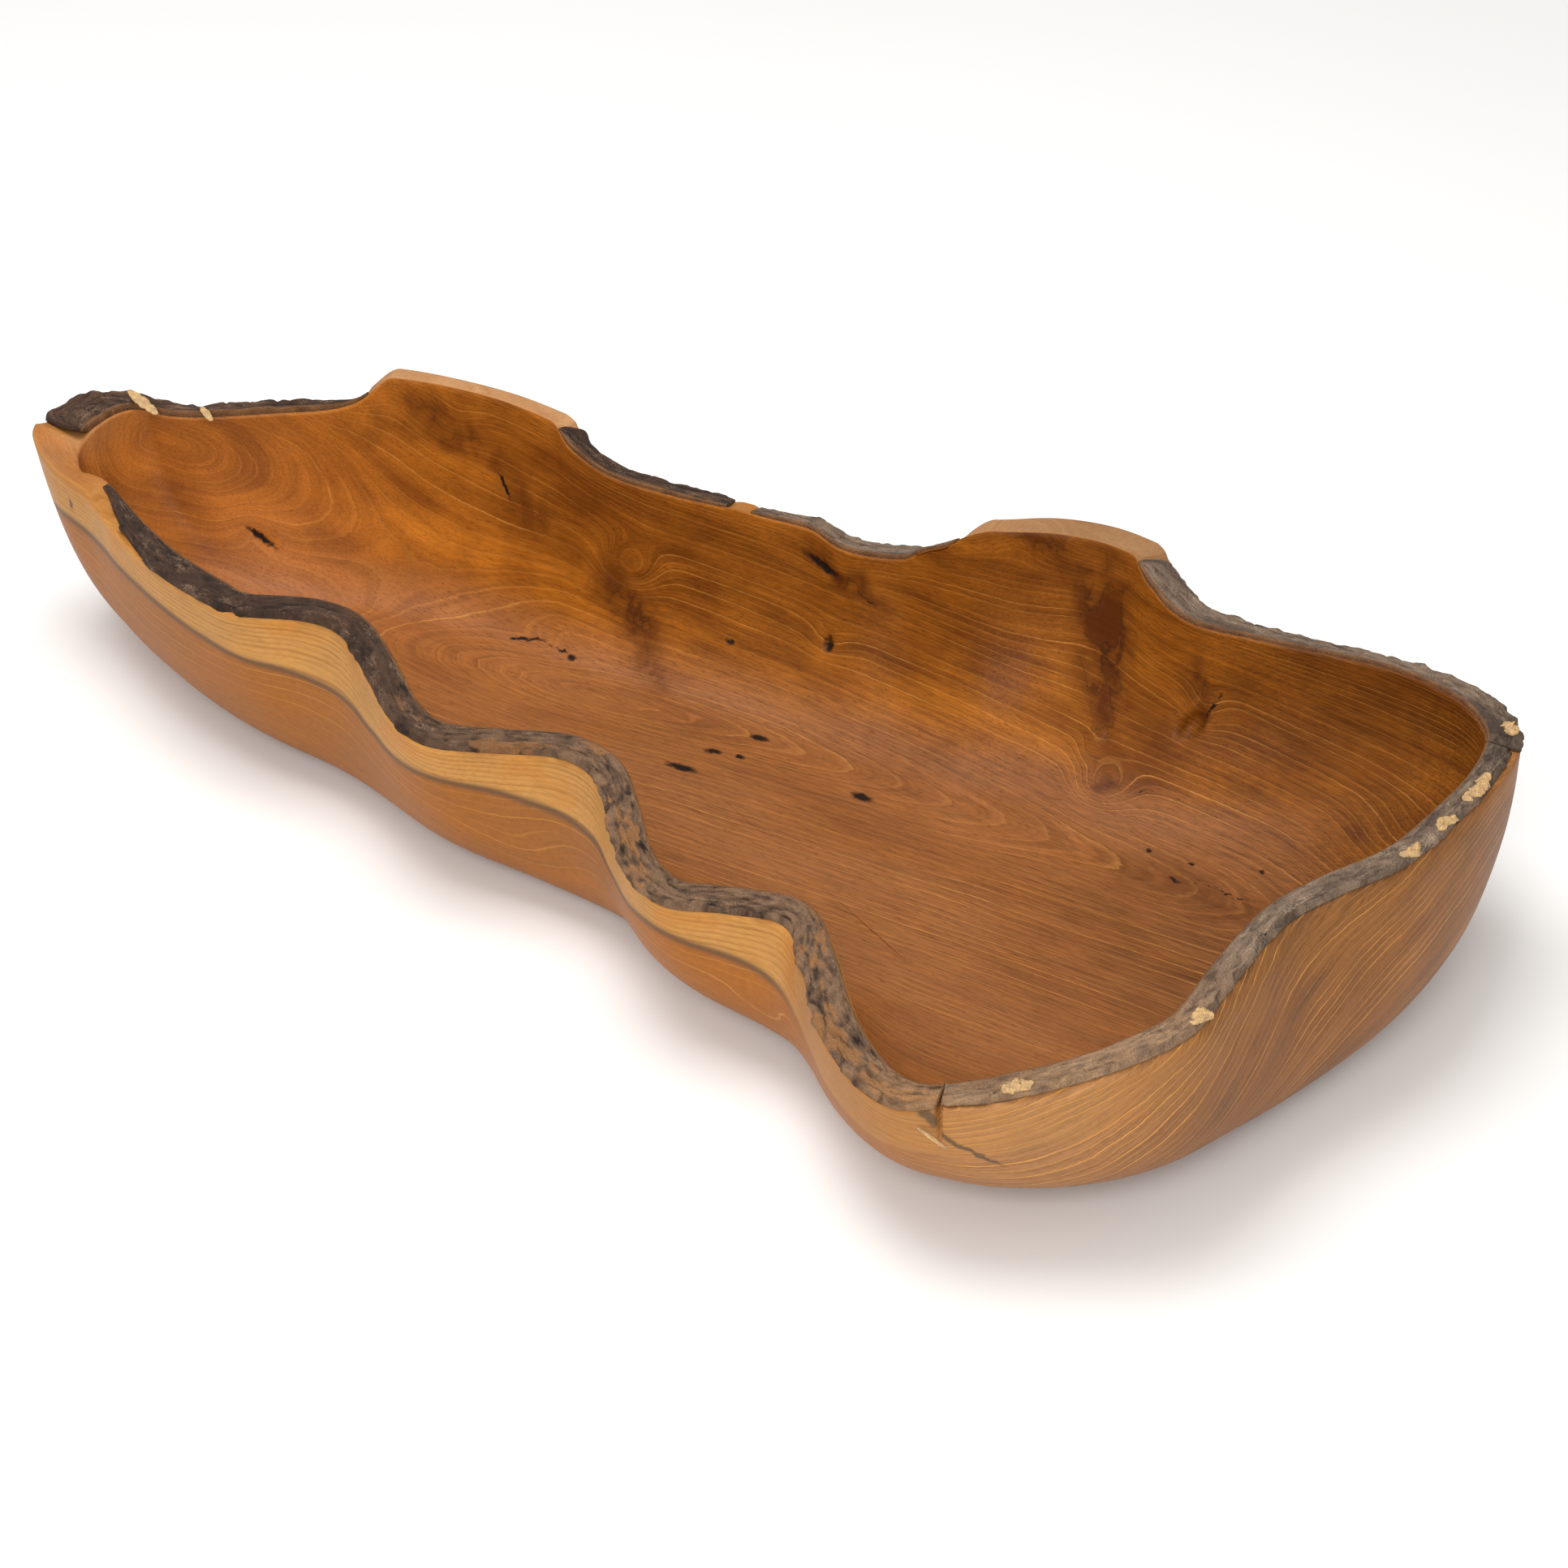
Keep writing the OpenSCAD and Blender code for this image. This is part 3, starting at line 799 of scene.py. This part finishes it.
def bent_depth(f):
    """The depth under the bark, made to wander as rings do, and pushed aside at each knot."""
    depth = f.attribute("ring_depth")
    depth = depth + f.noise((0.005, 0.014, 0.014), 3) * 8 + f.noise((0.04, 0.09, 0.09), 2) * 1.5
    depth = depth + f.noise((0.25, 0.7, 0.7), 2, 7.0) * 0.5
    for centre, reach, push in KNOTS:
        depth = depth + f.near_blob(centre, reach) * push
    return depth


def dark_marks(f, strokes, ragged):
    """1 in the black heart of a hole or slit and 0 away from it, with ragged edges."""
    total = None
    for start, end, width in strokes:
        near = f.near_stroke(start, end, width, ragged).step(1.5, 0.6)
        total = near if total is None else total.max(near)
    return total


def soft_stains(f, ragged):
    total = None
    for start, end, width, strength in STAINS:
        near = f.near_stroke(start, end, width, ragged).step(1.7, 0.1) * strength
        total = near if total is None else total.max(near)
    return total


def warped(f, pace, amount, shift):
    """The place, moved about by noise in all three directions."""
    inputs = {"Vector": f.vector("ADD", f.place, (shift, shift, shift)), "Scale": pace, "Detail": 2}
    push = f.node("ShaderNodeTexNoise", None, inputs, output="Color")
    push = f.vector("SCALE", f.vector("SUBTRACT", push, (0.5, 0.5, 0.5)), scale=amount)
    return f.vector("ADD", f.place, push)


def grain(f):
    """The numbers that the whole finish shares: the place, the rings, and noise of several sizes.
    Fibre and bands lie in the rings; pores and dashes are drawn out along the bowl."""
    g = SimpleNamespace(hollow=f.attribute("in_hollow"), below=f.attribute("below_rim"),
                        sawn=f.attribute("sawn"))
    g.depth = bent_depth(f)
    g.line, g.through, g.vigour = growth_lines(f, g.depth, g.below)
    g.x = f.node("ShaderNodeSeparateXYZ", None, {0: f.place})
    g.y, g.z = f.split(g.x, 1), f.split(g.x, 2)
    in_grain = f.node("ShaderNodeCombineXYZ", None, {0: g.x * 0.02, 1: g.depth, 2: g.y * 0.02})
    g.fibre = f.noise((1.6, 1.8, 1.0), 4, 3.0, in_grain)
    g.bands = f.noise((0.6, 0.16, 1.0), 3, 13.0, in_grain)
    g.pores = f.noise((0.22, 2.4, 2.4), 1, 11.0).step(0.10, 0.24)
    g.dashes = f.noise((0.09, 1.1, 1.1), 3, 71.0)
    g.mottle = f.noise((0.010, 0.030, 0.030), 4, 5.0)
    g.cloudy = f.noise((0.04, 0.06, 0.06), 4, 61.0)
    g.speckle = f.noise((0.35, 0.55, 0.55), 2, 23.0)
    g.ragged = warped(f, 0.35, 3.0, 9.0)
    return g


def hollow_wood(f, g, marks):
    """Heartwood in the hollow: paler on the floor as a painted sheen, with painted light at the nose
    end and painted shade at the wide end, pale ring lines, stains, and black marks.
    """
    heart = f.mix(HEART, AMBER, (g.mottle * 2.0 + g.bands * 1.8 + g.cloudy * 1.5 + 0.45))
    # painted sheen: the floor, and a little the nose end, are made paler, as if they reflected the
    # light
    painted_sheen_share = g.z.step(34.0, 15.0) * (g.mottle + 0.66) + g.x.step(-170.0, -240.0) * 0.25
    heart = f.mix(heart, PAINTED_FLOOR_SHEEN, painted_sheen_share.max(0.0).min(1.0))
    # painted light and shade: the hollow is made lighter towards the nose, and its back wall darker at
    # the wide end
    painted_light_and_shade = g.x.step(10.0, -250.0) * 0.44 - g.x.step(100.0, 290.0) * g.y.step(-60.0, 40.0) * 0.34
    heart = f.tint(heart, painted_light_and_shade + 1.0 - g.through * 0.14 + g.fibre * 0.85 + g.dashes * 0.75)
    heart = f.mix(heart, RUSSET, g.pores * 0.50)
    heart = f.mix(heart, PALE_LINE, g.line * (g.speckle * 1.4 + 0.85).max(0.0).min(1.0))
    burl = f.noise((0.11, 0.09, 0.09), 4, 51.0)
    stains = soft_stains(f, warped(f, 0.06, 20, 40.0))
    heart = f.mix(heart, RUSSET, (stains * (burl * 2.2 + 0.86)).max(0.0).min(0.92) * g.hollow)
    veins = (burl * burl * -1500).exp() * stains.step(0.25, 0.9) * 0.45
    return f.mix(heart, NEARLY_BLACK, marks.max(veins * g.hollow))


def sapwood(f, g):
    """Straw-coloured sapwood, with a darker edge to each ring and amber clouds."""
    share = g.through.step(0.3, 1.0) * g.vigour * 0.6 + g.fibre * 0.8 + 0.08
    straw = f.mix(STRAW, STRAW_LINE, share)
    amber = (g.below.step(9.0, 2.0) * 0.55).max(g.cloudy * 2.2 + g.mottle * 1.5)
    straw = f.mix(straw, AMBER, amber)
    return f.tint(straw, 1 + g.dashes * 0.5 + g.cloudy * 0.5)


def outside_wood(f, g, straw):
    """The outside: tan heartwood, dusty and brown on the wide end, and sapwood under the bark, which
    on the front ends in a dark line, and a painted shadow down the crack."""
    outer = f.mix(TAN, AMBER, g.mottle * 1.2 + 0.2 + g.bands * 0.9)
    far_end = g.x.step(215.0, 300.0) * g.y.step(-150.0, -70.0)
    outer = f.mix(outer, UMBER, far_end * (g.mottle * 2.0 + g.bands * 1.5 + 0.60))
    wide_end = g.x.step(215.0, 285.0)
    outer = f.mix(outer, DUSTY, wide_end * (0.50 - far_end * 0.40))
    outer = f.tint(outer, 1 + g.fibre * 1.1 * wide_end + g.fibre * 0.3 + g.speckle * 0.35)
    outer = f.mix(outer, PALE_LINE, g.line * (wide_end * 1.5 + 0.75))
    level = g.z + g.x * 0.035 + f.noise((0.012, 0.02, 0.02), 2, 31.0) * 9
    front = g.y.step(-30.0, -60.0) * g.x.step(190.0, 150.0)
    sap_band = (level - 50.0) * front + (24.0 - g.below + g.mottle * 10) * (1 - front)
    share = (front * 0.5 + 0.45 - far_end * 0.35) * (1 - wide_end * 0.45)
    outer = f.mix(outer, straw, sap_band.step(-1.0, 2.0) * share)
    boundary = (sap_band * sap_band * -0.35).exp() * front
    outer = f.mix(outer, SLATE, boundary * 0.75)
    outer = f.mix(outer, SLATE, dark_marks(f, OUTSIDE_STROKES, g.ragged) * 0.80)
    # the crack's painted shadow, nearly black
    return f.mix(outer, NEARLY_BLACK, dark_marks(f, PAINTED_CRACK_SHADOW, g.ragged))


def oiled_root_wood():
    """The whole finish: hollow and outside, the sawn tops of the lobes, and the tip of the nose."""
    f = Finish("oiled_root_wood")
    g = grain(f)
    marks = dark_marks(f, STROKES, g.ragged) * g.hollow
    straw = sapwood(f, g)
    inner_sap = g.below.step(13.0, 7.0) * g.y.step(-60.0, -80.0) * g.x.step(140.0, 160.0)
    heart = f.mix(hollow_wood(f, g, marks), straw, inner_sap * g.hollow)
    colour = f.mix(outside_wood(f, g, straw), heart, g.hollow)
    nose_lip = f.near_blob((-266, -46, 88), (20, 26, 12)) * (g.fibre + 0.6)
    colour = f.mix(colour, DUSTY, nose_lip.max(0.0).min(0.8))
    bare = f.mix(SAWN, TAN, g.fibre * 1.2 + 0.25 + f.noise((1.2, 0.3, 1.0), 2, 17.0) * 0.6)
    bare = f.tint(bare, 1 - g.x.step(40.0, 110.0) * 0.30)
    colour = f.mix(colour, bare, g.sawn)
    rough = 0.46 + g.pores * 0.12 + g.mottle * 0.10 + marks * 0.2 + g.sawn * 0.22
    height = 0.5 - g.pores * 0.35 - g.line * 0.25 + g.fibre * 0.3 - marks * 0.8
    return f.surface(colour, rough, height, 0.00012, Specular_IOR_Level=0.13)


wood = oiled_root_wood()
print("oiled root wood:", len(wood.node_tree.nodes), "nodes")

# %% Build the body
body = closed_skin("bowl_wood_skin", rings,
                   {"ring_depth": ring_depth, "below_rim": below_rim, "in_hollow": in_hollow,
                    "sawn": sawn}, wood)
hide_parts("bowl_body")

# %% [markdown]
# ## Bark
# Bark is left on the rim where the tree's surface met the carver's cuts. It is a rough crust with
# plates, cracks and flakes, cut off clean along the hollow and ragged outside. A ribbon with a
# closed section runs along the rim, and heaped noise along and across it lifts the plates.

# %% Bark strips
# section of the strip, from the outer bottom edge over the top to the inner bottom edge and back:
# share of the way from the inner to the outer edge, share of the thickness, and how rough it is
SECTION = np.array([[1.00, -0.12, 0.0], [1.02, 0.25, 0.8], [1.00, 0.70, 1.0], [0.93, 1.00, 1.0],
                    [0.50, 1.05, 1.0], [0.10, 1.02, 0.5], [0.05, 0.92, 0.1], [0.05, 0.10, 0.0],
                    [0.50, -0.12, 0.0]])
SECTION_POINTS = (2, 2, 3, 9, 9, 2, 3, 2, 2)
INNER_FACE = (25, 31)           # the points of the drawn section where the carver's cut shows
# over how many stations a strip narrows to a point at its first and last end
NARROWING = {"bark_left_nose": (1.5, 0.4), "bark_front": (2.5, 0.01), "bark_right_end": (0.01, 0.01),
             "bark_back_right": (0.01, 0.3), "bark_back_right_mid": (0.3, 0.01),
             "bark_back_left_mid": (0.01, 0.3)}


def section_line():
    """The section drawn more finely: each side of it split into SECTION_POINTS parts."""
    nxt = np.roll(SECTION, -1, 0)
    return np.concatenate([a + (b - a) * np.arange(k)[:, None] / k
                           for a, b, k in zip(SECTION, nxt, SECTION_POINTS)])


def bark_strip(name, finish, reach=1.0, spacing=0.8, rough=1.0, seed=1, plates=(9.0, 3.2)):
    """One strip of bark. Its height is heaped noise, less cracks where a second noise is near 0."""
    first, last, times = STRIPS[name]
    guide = Rim(np.linspace(first, last, 200))
    length = np.linalg.norm(np.diff(guide.edge, axis=0), axis=1).sum()
    rim = Rim(np.linspace(first, last, int(length / spacing)))
    own = bark_depth(STRIPS[name], rim.s)[:, None]
    v, h, mask = (section_line()[:, k][None] for k in range(3))
    start, end = NARROWING[name]
    open_out = np.minimum((rim.s - first) / start, (last - rim.s) / end).clip(0, 1)[:, None]
    v = v * reach * (0.25 + 0.75 * np.sin(open_out * np.pi / 2))
    run = np.concatenate([[0], np.cumsum(np.linalg.norm(np.diff(rim.edge, axis=0), axis=1))])
    width = np.linalg.norm(rim.edge - rim.inside, axis=1)[:, None]
    around = np.cumsum(np.abs(np.diff(section_line()[:, 0], prepend=1)))[None] * width
    grid = np.stack([run[:, None] + 0 * around, around, 0 * around + seed], -1)
    plan = rim.inside[:, None] + (rim.edge - rim.inside)[:, None] * v[..., None]
    z = rim.height - rim.fall * v - own * (1 - h)
    plates = (plates[0], plates[1], 1.0)
    relief = heaped(grid, plates, seed)
    cracks = np.exp(-(clouds(grid, (7.0, 2.2, 1.0), seed + 9) / 0.14)**2)
    fade = np.minimum(1, own / 2.2)
    lift = (0.50 * relief - 0.7 * cracks) * mask * rough * fade
    outermost = section_line()[None, :, 0] > 0.9
    ragged = 1.2 * heaped(grid * [1, 0, 1], (6.0, 1, 1), seed + 20) * outermost * mask
    inner = np.zeros_like(mask)
    inner[0, INNER_FACE[0]:INNER_FACE[1]] = 1
    out = unit(rim.edge - rim.inside)[:, None]
    points = np.concatenate([plan + out * ragged[..., None], (z + lift)[..., None]], -1)
    thing = closed_skin(name + "_crust", points[:, ::-1],
                        {"relief": (relief - 1.2 * cracks)[:, ::-1], "run": run[:, None],
                         "across": around[:, ::-1], "inner_face": inner[:, ::-1]}, finish)
    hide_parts(name)
    return thing


def bark_finish(name, deep, middle, light, patch, patch_share, seed):
    """Bark: dark in its cracks, lighter on its worn tops, with patches where a layer has flaked.
    The flakes lie along the rim, so the noise is read along the strip and across it. Painted light
    makes it lighter at the nose, and painted shade makes it darker round the far corner."""
    f = Finish(name)
    relief = f.attribute("relief")
    along = f.node("ShaderNodeCombineXYZ", None, {0: f.attribute("run"), 1: f.attribute("across")})
    grain = f.noise((0.16, 0.5, 1.0), 4, seed, along)
    flake = f.noise((0.05, 0.22, 1.0), 4, seed + 3, along)
    fine = f.noise((1.4, 1.4, 1.4), 3, seed + 5)
    x = f.node("ShaderNodeSeparateXYZ", None, {0: f.place})
    y = f.split(x, 1)
    shade = (relief * 0.35 + grain * 2.2 + 0.75).max(0.0).min(1.0)
    colour = f.mix(deep, f.mix(middle[0], middle[1], x.step(-80.0, 60.0)), shade)
    colour = f.mix(colour, light, (flake * 2 + grain + fine * 1.2).step(0.05, 0.75) * 0.65)
    flaked = (f.noise((0.028, 0.12, 1.0), 4, seed + 11, along) + grain * 0.35).step(0.05, 0.11)
    colour = f.mix(colour, patch, flaked * x.step(-120.0, 60.0) * patch_share)
    by_crack = x.step(215.0, 245.0) * y.step(-40.0, -120.0)
    colour = f.mix(colour, (0.400, 0.210, 0.090), by_crack * (grain + 0.35))
    # painted shade darkens the bark round the far corner, and painted light brightens it at the nose
    corner = f.near_blob(CORNER, (26, 26, 40)) * 0.55
    painted_nose_light = x.step(-215.0, -245.0) * 0.5
    colour = f.tint(colour, 1 + fine * 0.7 + grain * 0.4 - corner + painted_nose_light)
    cut = f.mix((0.260, 0.120, 0.045), (0.110, 0.048, 0.020), grain * 2 + 0.5)
    colour = f.mix(colour, cut, f.attribute("inner_face") * 0.9)
    height = grain * 2.0 + fine * 1.2
    return f.surface(colour, 0.80, height, 0.0008, Specular_IOR_Level=0.25)


# the far corner of the rim, round which the bark is darkened as painted shade
corner_rim = Rim(np.array([33.8]))
CORNER = (*corner_rim.edge[0].tolist(), corner_rim.height.item())
DARK_CRUST = bark_finish("dark_bark_crust", (0.022, 0.011, 0.007),
                         ((0.062, 0.031, 0.018), (0.205, 0.115, 0.063)),
                         (0.260, 0.165, 0.100), (0.290, 0.125, 0.038), 0.70, 2.0)
GREY_CRUST = bark_finish("grey_bark_crust", (0.085, 0.056, 0.038),
                         ((0.190, 0.115, 0.070), (0.230, 0.155, 0.105)),
                         (0.440, 0.320, 0.215), (0.090, 0.056, 0.042), 0.8, 8.0)
for number, (name, strip) in enumerate(STRIPS.items()):
    dark = name in ("bark_left_nose", "bark_front", "bark_back_left_mid")
    crust = bark_strip(name, DARK_CRUST if dark else GREY_CRUST, seed=30 + number,
                       rough=1.4 if name == "bark_left_nose" else 0.7,
                       reach=0.82 if name == "bark_right_end" else 1.0)

# %% [markdown]
# ## Chips of bast
# Here and there the pale inner bark, the bast, still clings to the rim as soft yellow crumbs. Each
# is a short lumpy patch lying on the bark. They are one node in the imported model, so they are one
# piece here too.

# %% Chips
# first and last station, inner and outer edge as shares of the rim's width
CHIPS = [(24.67, 25, 0.5, 0.9), (27, 27.33, 0.55, 0.9), (31, 31.33, 0.55, 0.9),
         (31.67, 32, 0.55, 0.9), (32.33, 33, 0.4, 0.9), (34, 34.33, 0.55, 0.9)]
CHIP_THICKNESS = 1.2
# start, end, half width of torn splinters: two at the nose and one at the foot of the crack
SPLINTERS = [((-275, -10, 92.5), (-254, -14, 89.5), 2.6), ((-244, 1, 90.5), (-235, -2, 88), 1.8),
             ((252.5, -160.6, 54.0), (261.5, -157.0, 48.5), 0.9)]


def ragged_pat(middle, half_run, half_width, thickness, seed, lump=1.0):
    """A lumpy pat with pointed ends: its section is an ellipse whose size goes along the pat as the
    square root of 1 - u^2, and heaped noise pushes it sideways and up. half_run and half_width are
    vectors for each of its rings. The points run backwards, so that the faces point outwards."""
    steps, points = len(middle), 26
    u = np.linspace(-0.98, 0.98, steps)[:, None]
    swell = np.sqrt(1 - u**2)
    turn = np.linspace(0, 2 * np.pi, points, endpoint=False)[None]
    rings = (middle[:, None] + half_width[:, None] * (swell * np.cos(turn))[..., None]
             + (swell * np.sin(turn))[..., None] * [0, 0, thickness])
    ragged = heaped(rings, (2.6, 2.6, 2.6), seed + 5)[..., None]
    rings = rings + lump * ragged * (unit(half_width) + half_run * 0.6)[:, None] * swell[..., None]
    rings[..., 2] += 0.7 * lump * heaped(rings, (1.8, 1.8, 1.8), seed) * swell * (np.sin(turn) > 0)
    return rings[:, ::-1]


def chip_rings(chip, seed):
    """A chip lying on the bark between two stations."""
    first, last, v_in, v_out = chip
    rim = Rim(np.linspace(first, last, 44))
    across = rim.edge - rim.inside
    v = (v_in + v_out) / 2
    middle = np.hstack([rim.inside + across * v, rim.height - rim.fall * v + 0.2])
    width = np.hstack([across * (v_out - v_in) / 2, 0 * rim.height])
    run = unit(np.gradient(middle, axis=0))
    return ragged_pat(middle, run, width, CHIP_THICKNESS, seed, 1.8)


def splinter_rings(splinter, seed):
    """A torn splinter between two points."""
    start, end, half_width = splinter
    middle = np.linspace(start, end, 40).astype(float)
    run = unit(np.gradient(middle, axis=0))
    width = np.cross(run, [0, 0, 1]) * half_width
    return ragged_pat(middle, run, width, 0.7, seed, 0.45)


def bast_finish():
    f = Finish("pale_bast")
    crumb = f.noise((0.5, 0.5, 0.5), 4, 1.0)
    fine = f.noise((2.0, 2.0, 2.0), 2, 4.0)
    colour = f.mix((0.72, 0.46, 0.20), (0.50, 0.32, 0.18), crumb.step(-0.12, 0.2))
    colour = f.tint(colour, 1 + fine * 0.7)
    return f.surface(colour, 0.9, crumb + fine, 0.0008, Specular_IOR_Level=0.2)


BAST = bast_finish()
shapes = ([chip_rings(chip, 60 + k) for k, chip in enumerate(CHIPS)]
          + [splinter_rings(splinter, 80 + k) for k, splinter in enumerate(SPLINTERS)])
chips = [closed_skin(f"bast_chip_{k}", rings, None, BAST) for k, rings in enumerate(shapes)]
with bpy.context.temp_override(active_object=chips[0], selected_editable_objects=chips):
    bpy.ops.object.join()
chips[0].name = "bast_chip_crumbs"
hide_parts("bast_chips")
print("chips of bast joined into one piece")
